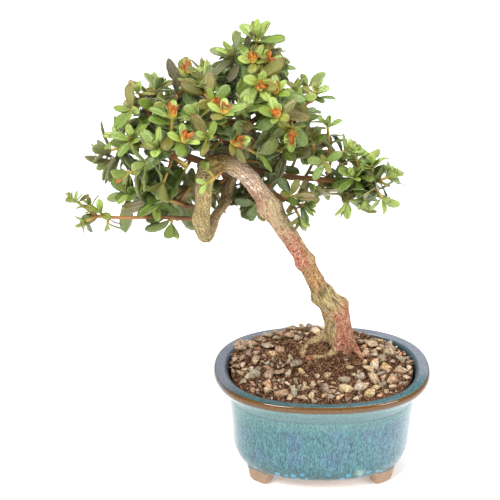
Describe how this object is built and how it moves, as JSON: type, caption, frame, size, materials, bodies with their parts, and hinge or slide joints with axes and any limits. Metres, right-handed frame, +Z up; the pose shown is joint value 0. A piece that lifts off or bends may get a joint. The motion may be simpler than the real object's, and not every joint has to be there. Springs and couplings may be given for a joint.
{
  "type": "satsuki azalea bonsai",
  "caption": "Small azalea tree with a trunk that arches over and climbs again into a dense leafy crown, planted in an oval glazed pot on four feet.",
  "frame": {"origin": "middle of the underside of the bounding box, on the surface that the pot's feet stand on", "axes": "+X to the viewer's right along the pot's long side, +Y to the back, +Z up"},
  "size_m": [0.242, 0.1506, 0.3229],
  "materials": {
    "glaze": "gloss",
    "peat": "matte",
    "stone": "matte",
    "bark": "matte",
    "foliage": "satin",
    "plastic": "matte"
  },
  "bodies": {
    "root": {"pot": "glaze", "soil": "peat", "drain_screen_left": "plastic", "drain_screen_right": "plastic", "trunk": "bark", "stone_01": "stone", "stone_02": "stone", "stone_03": "stone", "stone_04": "stone", "stone_05": "stone", "stone_06": "stone", "stone_07": "stone", "stone_08": "stone", "stone_09": "stone", "branch_crown": "foliage", "branch_upper_left": "foliage", "branch_front": "foliage", "branch_left": "foliage", "branch_left_front": "foliage", "branch_left_low": "foliage", "branch_long_low": "foliage", "branch_upper_right": "foliage", "branch_mid_right": "foliage", "branch_far_right": "foliage", "branch_low_right": "foliage", "shoot_on_arch": "foliage", "branch_back_left": "foliage", "branch_back_crown": "foliage", "branch_back_right": "foliage", "branch_back_low": "foliage"}
  },
  "joints": []
}
